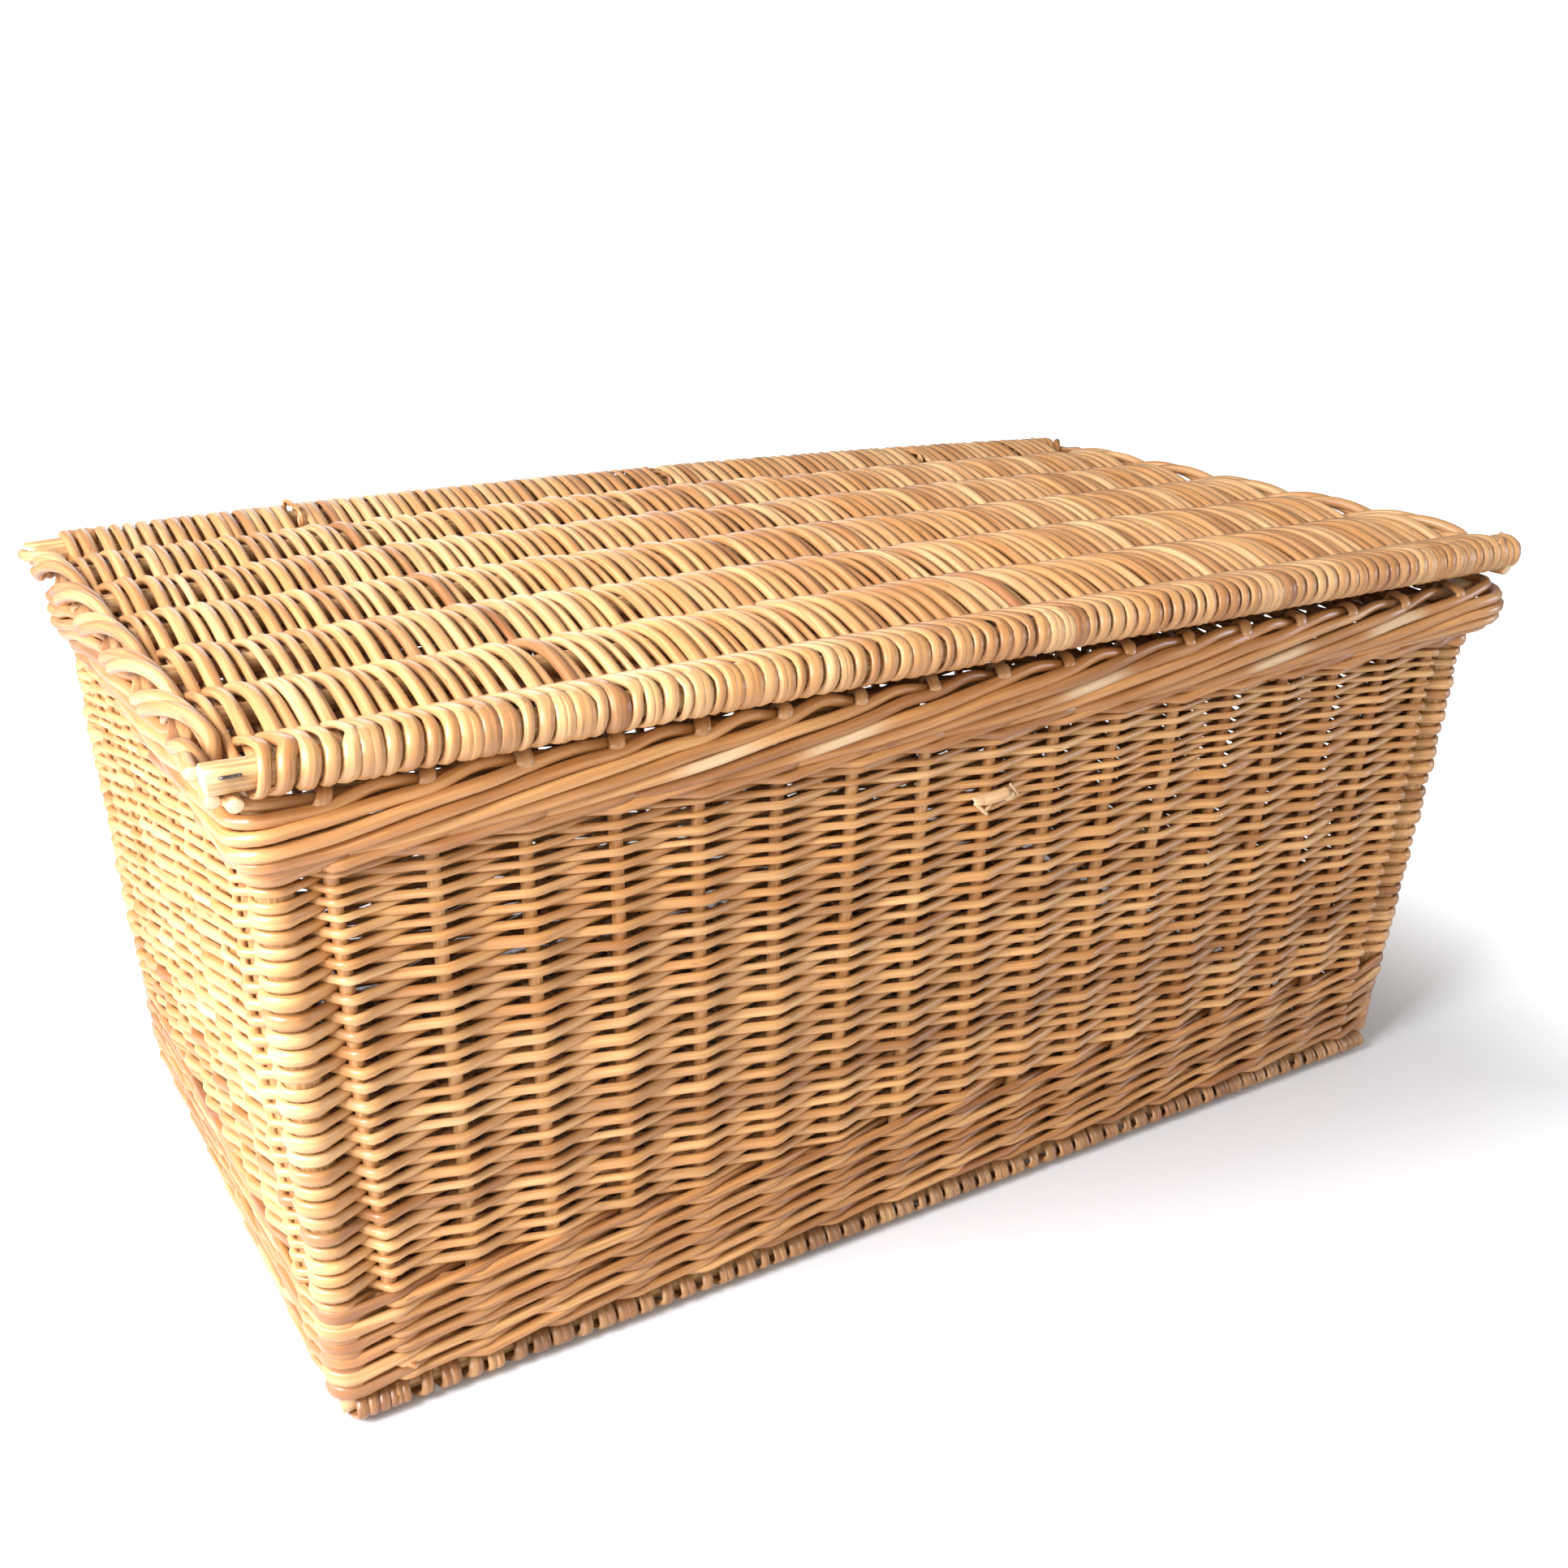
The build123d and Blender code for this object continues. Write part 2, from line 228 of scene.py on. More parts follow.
# Willow: pale, golden and brown shade
SHADES = {
    "woven_willow": ((0.70, 0.45, 0.21), (0.54, 0.295, 0.115), (0.33, 0.15, 0.05)),
    "border_willow": ((0.63, 0.355, 0.145), (0.47, 0.23, 0.08), (0.26, 0.11, 0.04)),
    "mat_willow": ((0.69, 0.45, 0.22), (0.54, 0.30, 0.125), (0.34, 0.155, 0.06)),
    "upsett_willow": ((0.60, 0.36, 0.155), (0.45, 0.23, 0.083), (0.26, 0.11, 0.038)),
    "worn_willow": ((0.48, 0.29, 0.13), (0.34, 0.18, 0.072), (0.19, 0.085, 0.03)),
    "peeled_stick": ((0.68, 0.48, 0.25), (0.54, 0.34, 0.15), (0.34, 0.18, 0.07)),
}

# Stage and camera, with lengths in metres, angles in degrees and powers in watts
FLOOR_HALF = 6.0
FLOOR_SHADE = 0.74
GLOW_FROM = (40 * MM, 500 * MM)  # how far outside the base mat the floor starts and stops to grow brighter
SKY = 0.32
SKY_SEEN = 1.05  # as bright as the camera sees it
LIGHTS = (  # name, place, target, size, power, colour
    ("key_left", (-1.4, -0.44, 1.05), (-0.1, -0.1, 0.25), 0.8, 60, (0.98, 0.99, 1.06)),
    ("wash_left", (-1.7, 0.25, 0.55), (-0.4, 0, 0.25), 0.8, 14, (0.45, 0.62, 1.0)),
    ("fill_front", (-1.1, -2.5, 1.2), (0, 0, 0.2), 1.8, 26, (1.0, 0.90, 0.78)),
    ("cool_right", (2.0, -1.1, 0.6), (0.2, 0, 0.3), 0.8, 12, (0.80, 0.86, 1.0)),
    ("sheen_back", (0.35, 2.3, 1.0), (-0.3, 0, 0.42), 1.0, 8, (0.95, 0.97, 1.0)),
)
CAMERA_PLACE = (-0.598, -0.954, 0.671)
CAMERA_ANGLES = (32.19, 21.45, 1.45)  # azimuth, elevation and roll
CAMERA_LENS = 37.27  # millimetres, as is the sensor
CAMERA_SENSOR = 36.0

SAMPLE_STEP = 6.5 * MM  # how finely a rod is drawn
CUT_FACE = 0.8  # the flat part of a cut end, as a share of its radius
CUT_DOME = 0.12  # how far that part stands out, in radii


# ---------------- rods as meshes


def unit(vectors):
    return vectors / np.maximum(np.linalg.norm(vectors, axis=-1, keepdims=True), 1e-12)


def travelled(points):
    """How far along a line each of its points is."""
    return np.concatenate([[0], np.cumsum(np.linalg.norm(np.diff(points, axis=0), axis=1))])


def eased(shares):
    """Shares clipped to 0 and 1, with a smooth start and end."""
    shares = np.clip(shares, 0, 1)
    return shares * shares * (3 - 2 * shares)


def turned(normal, angle):
    """A direction in plan, turned."""
    cos, sin = math.cos(angle), math.sin(angle)
    return np.array([normal[0] * cos - normal[1] * sin, normal[1] * cos + normal[0] * sin])


def middle_of(node):
    low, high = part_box(node)
    return (low + high) / 2


def curve(points, step=SAMPLE_STEP):
    """A smooth curve through points, sampled about every step. Columns past the third follow along."""
    chords = np.maximum(np.linalg.norm(np.diff(points[:, :3], axis=0), axis=1), 1e-6)
    slopes = np.diff(points, axis=0) / chords[:, None]
    before, after = chords[:-1, None], chords[1:, None]
    inner = (slopes[:-1] * after + slopes[1:] * before) / (before + after)
    tangents = np.vstack([slopes[:1], inner, slopes[-1:]])
    counts = np.maximum(2, np.ceil(chords / step)).astype(int)
    span = np.repeat(np.arange(len(chords)), counts)
    t = np.concatenate([np.arange(n) / n for n in counts])[:, None]
    start, end = points[span], points[span + 1]
    leave, arrive = tangents[span] * chords[span, None], tangents[span + 1] * chords[span, None]
    body = (
        (2 * t**3 - 3 * t**2 + 1) * start
        + (t**3 - 2 * t**2 + t) * leave
        + (3 * t**2 - 2 * t**3) * end
        + (t**3 - t**2) * arrive
    )
    return np.vstack([body, points[-1:]])


class Rods:
    """Willow rods gathered into one mesh, with the coordinates that the material's grain follows."""

    def __init__(self, seed):
        self.draw = np.random.default_rng([SEED, seed])
        self.points, self.quads, self.grain, self.tone = [], [], [], []
        self.count = 0

    def add(self, samples, reference=(0, 0, 1), flat=1.0, sides=8, tone=None, slant=0.0, warm=None, bare=0):
        """A rod along samples of x, y, z and radius. It is flat times as thick along the reference.

        Bare is how far its skin is scraped off, for the whole rod or for each sample.
        """
        centres, radii = samples[:, :3], samples[:, 3]
        along = unit(np.gradient(centres, axis=0))
        flat = np.reshape(flat, (-1, 1, 1))
        reference = np.broadcast_to(np.asarray(reference, float), centres.shape)
        normal = unit(reference - along * np.sum(reference * along, axis=1, keepdims=True))
        across = np.cross(along, normal)
        angles = np.arange(sides) * 2 * math.pi / sides
        cos, sin = np.cos(angles), np.sin(angles)
        around = normal[:, None] * cos[:, None] * flat + across[:, None] * sin[:, None]
        rings = centres[:, None] + radii[:, None, None] * around
        skew = slant * radii[[0, -1], None, None] * cos[None, :, None]
        rings[0] -= skew[0] * along[0]
        rings[-1] += skew[1] * along[-1]
        caps = [
            rings[0] * CUT_FACE + (centres[0] - skew[0] * along[0]) * (1 - CUT_FACE),
            rings[-1] * CUT_FACE + centres[-1] * (1 - CUT_FACE),
        ]
        caps[0] -= along[0] * radii[0] * CUT_DOME
        caps[1] += along[-1] * radii[-1] * CUT_DOME
        travel = travelled(centres)
        offset = self.draw.uniform(-9, 9, 3)
        shade = self.draw.beta(4.0, 4.0) if tone is None else tone
        hue = self.draw.random() if warm is None else warm
        lengthwise = np.broadcast_to(travel[:, None], (len(radii), sides))
        ring_grain = np.stack([lengthwise, radii[:, None] * cos, radii[:, None] * sin], axis=2)
        grain = np.concatenate([ring_grain, ring_grain[:1] * CUT_FACE, ring_grain[-1:] * CUT_FACE]) + offset
        rows = len(radii)
        cut = np.ones((rows + 2, sides))
        cut[:rows] = np.reshape(bare, (-1, 1))
        tones = np.stack([np.full_like(cut, shade), np.full_like(cut, hue), cut], axis=2)
        index = self.count + np.arange((rows + 2) * sides).reshape(rows + 2, sides)
        self.points.append(np.concatenate([rings, np.stack(caps)]).reshape(-1, 3))
        self.grain.append(grain.reshape(-1, 3))
        self.tone.append(tones.reshape(-1, 3))
        self.quads.append(self._walls(index[:rows]))
        self.quads.append(self._walls(index[[rows, 0]]))
        self.quads.append(self._walls(index[[rows - 1, rows + 1]]))
        self.quads.append(self._lid(index[rows][::-1]))
        self.quads.append(self._lid(index[rows + 1]))
        self.count += (rows + 2) * sides

    @staticmethod
    def _walls(index):
        """The quads between each ring and the next."""
        beside = np.roll(index, -1, axis=1)
        return np.stack([index[:-1], beside[:-1], beside[1:], index[1:]], axis=2).reshape(-1, 4)

    @staticmethod
    def _lid(ring):
        """Quads that close a ring with an even number of points."""
        half = len(ring) // 2 - 1
        return np.array([[ring[i], ring[i + 1], ring[-2 - i], ring[-1 - i]] for i in range(half)])

    def mesh(self, name):
        points = np.concatenate(self.points).astype(np.float32)
        quads = np.concatenate(self.quads).astype(np.int32)
        mesh = bpy.data.meshes.new(name)
        mesh.vertices.add(len(points))
        mesh.vertices.foreach_set("co", points.ravel())
        mesh.loops.add(quads.size)
        mesh.loops.foreach_set("vertex_index", quads.ravel())
        mesh.polygons.add(len(quads))
        mesh.polygons.foreach_set("loop_start", np.arange(0, quads.size, 4, dtype=np.int32))
        mesh.polygons.foreach_set("use_smooth", np.ones(len(quads), bool))
        mesh.update(calc_edges=True)
        for attribute, values in (("grain", self.grain), ("tone", self.tone)):
            layer = mesh.attributes.new(attribute, "FLOAT_VECTOR", "POINT")
            layer.data.foreach_set("vector", np.concatenate(values).astype(np.float32).ravel())
        return mesh


def place(rods, name, material, body, replaced, shape=None):
    """Makes the gathered rods a piece that rides on a body and stands for CAD nodes."""
    mesh = rods.mesh(name)
    if shape is not None:
        points = np.concatenate(rods.points)
        mesh.vertices.foreach_set("co", shape(points).astype(np.float32).ravel())
        mesh.update()
    mesh.materials.append(material)
    piece = bpy.data.objects.new(name, mesh)
    bpy.context.scene.collection.objects.link(piece)
    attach(piece, body)
    if replaced:
        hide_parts(*replaced)
    return piece


# ---------------- materials


def set_inputs(tree, node, inputs):
    """Sets a node's inputs by name or number, each to a value or to another node's socket."""
    for name, value in inputs.items():
        if isinstance(value, bpy.types.NodeSocket):
            tree.links.new(value, node.inputs[name])
        else:
            node.inputs[name].default_value = value


def add_node(tree, kind, inputs, output=0, **settings):
    """One output of a new shader node."""
    node = tree.nodes.new(kind)
    for name, value in settings.items():
        setattr(node, name, value)
    set_inputs(tree, node, inputs)
    return node.outputs[output]


def calculate(tree, operation, *values):
    return add_node(tree, "ShaderNodeMath", dict(enumerate(values)), operation=operation)


def ramp(tree, factor, stops):
    colour = add_node(tree, "ShaderNodeValToRGB", {"Fac": factor})
    elements = colour.node.color_ramp.elements
    while len(elements) < len(stops):
        elements.new(0.5)
    for element, (position, shade) in zip(elements, stops):
        element.position = position
        element.color = (*shade, 1)
    return colour


def band_ramp(tree, factor, low, high):
    """0 below low and 1 above high."""
    limits = {"Value": factor, "From Min": low, "From Max": high}
    return add_node(tree, "ShaderNodeMapRange", limits, interpolation_type="SMOOTHSTEP")


def mixed(tree, factor, first, second, blend="MIX"):
    inputs = {0: factor, 6: first, 7: second}
    return add_node(tree, "ShaderNodeMix", inputs, 2, data_type="RGBA", blend_type=blend)


def tinted(tree, factor, colour, tint):
    """A colour multiplied by a tint as far as the factor says."""
    return mixed(tree, factor, colour, mixed(tree, 1.0, colour, (*tint, 1), "MULTIPLY"))


def stretched_noise(tree, grain, scale, detail=3.0, roughness=0.55, distortion=0.0):
    """Noise whose cells are as long and wide as scale says, along and across the rod."""
    placed = add_node(tree, "ShaderNodeMapping", {"Vector": grain, "Scale": scale})
    inputs = {"Vector": placed, "Scale": 1.0, "Detail": detail}
    inputs |= {"Roughness": roughness, "Distortion": distortion}
    return add_node(tree, "ShaderNodeTexNoise", inputs, "Fac")


def bud_scars(tree, grain):
    """Spots along the rods, and which few of them are dark."""
    placed = add_node(tree, "ShaderNodeMapping", {"Vector": grain, "Scale": (34, 190, 190)})
    distance = add_node(tree, "ShaderNodeTexVoronoi", {"Vector": placed, "Scale": 1.0}, "Distance")
    pick = add_node(tree, "ShaderNodeSeparateColor", {0: distance.node.outputs["Color"]})
    return band_ramp(tree, distance, 0.17, 0.05), band_ramp(tree, pick, 0.62, 0.66)


def new_material(name):
    """A material with its node tree and its shader."""
    material = bpy.data.materials.new(name)
    material.use_nodes = True
    return material, material.node_tree, material.node_tree.nodes["Principled BSDF"]


def willow(name, roughness=0.42, coat=0.35, streaks=0.5):
    """Varnished buff willow: each rod has its own shade, with grain, stains, bud scars and pale cut ends."""
    material, tree, shader = new_material(name)
    pale, golden, brown = SHADES[name]
    grain = add_node(tree, "ShaderNodeAttribute", {}, "Vector", attribute_name="grain")
    tone = add_node(tree, "ShaderNodeAttribute", {}, "Vector", attribute_name="tone")
    shade, hue, cut = add_node(tree, "ShaderNodeSeparateXYZ", {0: tone}).node.outputs
    fine = stretched_noise(tree, grain, (60, 1500, 1500), detail=4.0, roughness=0.6)
    long_streak = stretched_noise(tree, grain, (16, 420, 420))
    stain = stretched_noise(tree, grain, (11, 60, 60), distortion=0.4)
    fibre = band_ramp(tree, fine, 0.35, 0.75)
    spot, dark_spot = bud_scars(tree, grain)

    level = calculate(tree, "ADD", shade, calculate(tree, "MULTIPLY_ADD", stain, 0.7, -0.35))
    skin = ramp(tree, level, [(0.05, brown), (0.45, golden), (0.95, pale)])
    skin = tinted(tree, hue, skin, (1.04, 0.94, 0.80))
    dark_streak = calculate(tree, "MULTIPLY", band_ramp(tree, long_streak, 0.62, 0.42), streaks)
    skin = tinted(tree, dark_streak, skin, (0.62, 0.50, 0.40))
    skin = tinted(tree, calculate(tree, "MULTIPLY", fibre, 0.35), skin, (1.18, 1.18, 1.15))
    scar = calculate(tree, "MULTIPLY", calculate(tree, "MULTIPLY", spot, dark_spot), 0.5)
    skin = mixed(tree, scar, skin, (0.10, 0.045, 0.018, 1))
    cut_wood = mixed(tree, fibre, (0.80, 0.63, 0.41, 1), (0.62, 0.43, 0.24, 1))

    lifted = calculate(tree, "ADD", calculate(tree, "MULTIPLY", fine, 0.5), long_streak)
    dented = calculate(tree, "SUBTRACT", lifted, calculate(tree, "MULTIPLY", spot, 0.4))
    relief = {"Height": dented, "Strength": 0.35, "Distance": 0.6 * MM}
    sheen = {"Value": long_streak, "From Min": 0.3, "From Max": 0.7}
    sheen |= {"To Min": roughness - 0.09, "To Max": roughness + 0.14}
    look = {
        "Base Color": mixed(tree, cut, skin, cut_wood),
        "Roughness": add_node(tree, "ShaderNodeMapRange", sheen),
        "Normal": add_node(tree, "ShaderNodeBump", relief),
        "Coat Weight": coat,
        "Coat Roughness": 0.22,
        "IOR": 1.5,
    }
    set_inputs(tree, shader, look)
    return material


def steel():
    """Tarnished nail steel, blotched darker."""
    material, tree, shader = new_material("nail_steel")
    position = add_node(tree, "ShaderNodeTexCoord", {}, "Object")
    noise = {"Vector": position, "Scale": 900.0, "Detail": 3.0}
    blotch = add_node(tree, "ShaderNodeTexNoise", noise, "Fac")
    colour = ramp(tree, blotch, [(0.3, (0.05, 0.04, 0.035)), (0.7, (0.2, 0.18, 0.17))])
    set_inputs(tree, shader, {"Base Color": colour, "Metallic": 0.8, "Roughness": 0.5})
    return material


# ---------------- the wall's uprights


class Uprights:
    """The stakes and corner posts in the order in which rods pass them, from the left of the front.

    Each is a straight line: where it is at floor height, and how far it moves per metre of height.
    """

    def __init__(self):
        low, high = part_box("corner_post_back_right")
        bottom = np.array([low.x + POST_RADIUS, low.y + POST_RADIUS])
        top = np.array([high.x - POST_RADIUS, high.y - POST_RADIUS])
        self.lean = (top - bottom) / (high.z - low.z)
        self.bow_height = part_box("rand_front")[1].z
        self.post = bottom - self.lean * low.z
        rows = []
        for side, next_side in zip(SIDES, SIDES[1:] + SIDES[:1]):
            normal, run = (np.array(NORMALS[name], float) for name in (side, next_side))
            for share in np.linspace(-1, 1, STAKES[side]):
                along = run * share
                floor = normal * (self.post + POST_TO_STAKE_LINE) + along * (self.post - POST_TO_LAST_STAKE)
                rows.append((floor, (normal + along) * self.lean, normal, False, FULLNESS[side]))
            outward = normal + run
            rows.append((outward * self.post, outward * self.lean, outward / math.sqrt(2), True, 1.0))
        columns = [np.array(column) for column in zip(*rows)]
        self.floor, self.slope, self.normal, self.is_post, self.fullness = columns
        self.count = len(rows)

    def at(self, index, height):
        """Where an upright's axis is in plan at a height. The walls bow out a little half way up."""
        bowed = BULGE * math.sin(math.pi * min(max(height / self.bow_height, 0), 1))
        outward = self.normal[index] * (math.sqrt(2) if self.is_post[index] else 1)
        return self.floor[index] + self.slope[index] * height + outward * bowed

    def line(self, index, heights):
        """Where an upright's axis is in plan at each of some heights."""
        return np.array([self.at(index, height) for height in heights])


def pass_point(uprights, index, side, height, radius):
    """Points of a rod outside (side 1) or inside (-1) one upright: place, radius, height over width."""
    index %= uprights.count
    centre, normal = uprights.at(index, height), uprights.normal[index]
    if not uprights.is_post[index]:
        spot = centre + normal * side * (STAKE_RADIUS + radius) * PRESS
        return [(*spot, height, radius, 1.0)]
    reach = (POST_RADIUS + radius * POST_PRESSED) * POST_PRESS
    if side < 0:
        spot = centre - normal * reach
        return [(*spot, height, radius, 1.0)]
    spots = [centre + turned(normal, angle) * reach for angle in POST_ANGLES]
    return [(*spot, height, radius * POST_PRESSED, POST_TALL) for spot in spots]


def woven(uprights, first, last, side_of, height_of, radius_of):
    """The points of one rod from one upright to another."""
    points = pass_point(uprights, first, side_of(first), height_of(first), radius_of(first))
    for index in range(first + 1, last + 1):
        following = pass_point(uprights, index, side_of(index), height_of(index), radius_of(index))
        start, end = np.array(points[-1]), np.array(following[0])
        points += [start + (end - start) * STRAIGHT_FROM, end + (start - end) * STRAIGHT_FROM]
        points += following
    return np.array(points)


def add_woven(rods, points, uprights, first, last, slant, standing_out=0.0):
    """Adds a rod through points, with its ends tucked in and cut at a slant up to the one given."""
    points = with_tucked_ends(points, uprights, first, last, rods.draw, standing_out)
    samples = curve(points)
    rods.add(samples[:, :4], flat=samples[:, 4], slant=float(rods.draw.uniform(-slant, slant)))


# ---------------- plain weave of the walls


def rand_rods(uprights, rows, draw):
    """The rods of each row: where each starts and ends, and its radius at both ends, as shares."""
    plan = []
    for row in range(rows):
        rods = []
        start = int(draw.integers(0, uprights.count))
        start += (start + row + 1) % 2  # rods start and end inside the hamper
        end_of_round = start + uprights.count
        position = start
        while position < end_of_round:
            length = 2 * int(draw.integers(ROD_SPAN[0] // 2, ROD_SPAN[1] // 2 + 1))
            stop = position + length
            if end_of_round - stop < ROD_SPAN[0] // 2 * 2:
                stop = end_of_round
            butt, tip = (draw.uniform(*shares) for shares in RAND_SHARES)
            rods.append((position, stop, butt, tip))
            position = stop
        plan.append(rods)
    return plan


def rod_share(rod, index):
    """A rod's radius at an upright, as a share of the usual one."""
    first, last, butt, tip = rod
    along = (index - first) / (last - first)
    return butt + (tip - butt) * along


def row_heights(uprights, plan, base_radius, low, high):
    """The height of each row at each upright: rows lie on each other, so thick rods lift the rest."""
    thickness = np.zeros((len(plan), uprights.count))
    for row, rods in enumerate(plan):
        for rod in rods:
            for index in range(rod[0], rod[1]):
                thickness[row, index % uprights.count] = base_radius[row] * rod_share(rod, index)
    smooth = sum(np.roll(thickness, shift, axis=1) for shift in (-2, -1, 0, 1, 2)) / 5
    stacked = np.cumsum(smooth, axis=0) - smooth / 2
    return low + (high - low) * stacked / smooth.sum(axis=0)


def rand(uprights, material):
    """The plain weave of all four walls, with a band of thin rods at its top."""
    low, high = (corner.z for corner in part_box("rand_front"))
    fine_band = FINE_ROWS * FINE_PITCH
    main_rows = round((high - low - fine_band) / RAND_PITCH)
    rows = main_rows + FINE_ROWS
    draw = np.random.default_rng([SEED, 1])
    plan = rand_rods(uprights, rows, draw)
    base_radius = np.full(rows, RAND_RADIUS)
    base_radius[main_rows:] = FINE_RADIUS
    base_radius *= draw.uniform(*ROW_THICKNESS, rows)
    heights = row_heights(uprights, plan, base_radius, low, high)
    for number, group in enumerate(np.array_split(np.arange(rows), RAND_PIECES), start=1):
        rods = Rods(seed=10 + number)
        for row in group:
            for rod in plan[row]:
                weave_row(rods, uprights, rod, row, heights[row], base_radius[row])
        replaced = [f"rand_{side}" for side in SIDES] if number == 1 else []
        place(rods, f"rand_weave_{number}", material, "basket", replaced)


def weave_row(rods, uprights, rod, row, heights, base_radius):
    """One rod of the plain weave, with both ends left inside the hamper."""
    jitter = rods.draw.normal(0, RAND_JITTER, rod[1] - rod[0] + 1)

    def radius(index):
        return base_radius * rod_share(rod, index) * uprights.fullness[index % uprights.count]

    def height(index):
        return heights[index % uprights.count] + jitter[index - rod[0]]

    def side(index):
        return 1 if (index + row) % 2 == 0 else -1

    points = woven(uprights, *rod[:2], side, height, radius)
    add_woven(rods, points, uprights, *rod[:2], RAND_CUT_SLANT)


def with_tucked_ends(points, uprights, first, last, draw, standing_out):
    """The rod's points with a short end past the first and the last upright, inside the hamper.

    Standing out is the share of the ends that poke out between the rods instead.
    """
    ends = []
    for index, here, step in ((first, points[0], -1), (last, points[-1], 1)):
        normal = uprights.normal[index % uprights.count]
        neighbour = uprights.at((index + step) % uprights.count, here[2])
        run = unit(neighbour - here[:2])
        reach = draw.uniform(*TUCKED_REACH)
        inward = draw.uniform(*TUCKED_IN)
        if draw.random() < standing_out:
            reach *= STANDING_REACH
            inward = -STANDING_OFF * (STAKE_RADIUS + here[3])
        spot = here[:2] + run * reach - normal * inward
        ends.append((*spot, here[2] + draw.normal(0, END_RISE), here[3], 1.0))
    return np.vstack([ends[0], points, ends[1]])


def wall_knot(uprights, material):
    """A knot of short broken rod ends that stands a little out of the front wall."""
    rods = Rods(seed=60)
    knot_x, knot_z = KNOT_PLACE
    wall_y = uprights.at(STAKES["front"] // 2, knot_z)[1] - STAKE_RADIUS - RAND_RADIUS
    for along, up, half, radius, slope in KNOT_ENDS:
        ends = np.array([[-half, 0, -half * slope], [0, -0.8, 0], [half, 0, half * slope]]) * MM
        middle = (knot_x + along * MM, wall_y - radius * MM * 0.1, knot_z + up * MM)
        points = np.column_stack([ends + middle, np.full(3, radius * MM)])
        rods.add(curve(points, 1 * MM), slant=0.4, bare=0.4, tone=0.75)
    place(rods, "rand_knot", material, "basket", [])


# ---------------- twined bands


def waling(uprights, wale, material):
    """Rounds of three-rod wale: each rod passes outside two uprights and inside the next."""
    node = wale["node"]
    low, high = (corner.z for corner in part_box(f"{node}_front"))
    rods = Rods(wale["seed"])
    round_height = (high - low) / wale["rounds"]
    for number in range(wale["rounds"]):
        level = low + (number + 0.5) * round_height
        for strand in range(3):
            wale_strand(rods, uprights, wale, strand + number, level, round_height)
    place(rods, f"{node}_rods", material, "basket", [f"{node}_{side}" for side in SIDES])


def wale_strand(rods, uprights, wale, phase, level, round_height):
    """One strand of a wale all the way round, made of rods that follow on from each other."""
    start = -(phase % 3)
    stop = start + uprights.count
    position = start
    while position < stop:
        end = min(position + 3 * int(rods.draw.integers(*WALE_THIRDS)), stop + 2)
        rod = (position, end, *(rods.draw.uniform(*shares) for shares in wale["shares"]))
        jitter = rods.draw.normal(0, WALE_JITTER, end - position + 1)

        def radius_at(index):
            return wale["radius"] * rod_share(rod, index)

        def height_at(index):
            rise = WALE_RISES[(index - start) % 3]
            return level + rise * round_height + jitter[index - position]

        def side_at(index):
            return -1 if (index - start) % 3 == 0 else 1

        points = woven(uprights, position, end, side_at, height_at, radius_at)
        add_woven(rods, points, uprights, position, end, WALE_CUT_SLANT, wale["standing_out"])
        position = end


# ---------------- border


class Rim:
    """The line of the stakes along the top of the walls, with a place on it counted in stakes."""

    def __init__(self, uprights, height):
        self.places, spots, normals = [], [], []
        self.stakes = 0
        self.corners = []
        for index in range(uprights.count):
            spot = uprights.at(index, height)
            normal = uprights.normal[index]
            if not uprights.is_post[index]:
                self.places.append(self.stakes)
                spots.append(spot)
                normals.append(normal)
                self.stakes += 1
                continue
            self.corners.append(self.stakes - 0.5)
            centre = spot + normal * (POST_TO_STAKE_LINE - RIM_CORNER_RADIUS) * math.sqrt(2)
            for angle in np.radians(np.arange(-45, 46, 15)):
                outward = turned(normal, angle)
                self.places.append(self.stakes - 0.5 + angle / math.pi * CORNER_STAKES)
                spots.append(centre + outward * RIM_CORNER_RADIUS)
                normals.append(outward)
        self.spots, self.normals = np.array(spots), np.array(normals)
        self.places = np.array(self.places, float)

    def at(self, places):
        """The points on the line and the outward directions at places counted in stakes."""
        table = np.hstack([self.spots, self.normals])
        values = [np.interp(places, self.places, column, period=self.stakes) for column in table.T]
        return np.column_stack(values[:2]), unit(np.column_stack(values[2:]))

    def samples(self, places, outward, height, radius):
        """Samples of a rod along the rim, lower and further out near the corners."""
        spots, normals = self.at(places)
        height = height - self.near_corners(places, CORNER_DIPS)
        outward = outward + self.near_corners(places, CORNER_FANS) * np.clip(outward / CORNER_FROM, 0, 1)
        return np.column_stack([spots + normals * outward[:, None], height, radius])

    def near_corners(self, places, amounts):
        """An amount given for each corner, fading away from it along the border."""
        spots, _ = self.at(places)
        total = np.zeros(len(spots))
        for corner, name in zip(self.corners, CORNERS):
            away = np.linalg.norm(spots - self.at([corner])[0], axis=1)
            total += amounts[name] * np.exp(-((away / CORNER_REACH) ** 2))
        return total


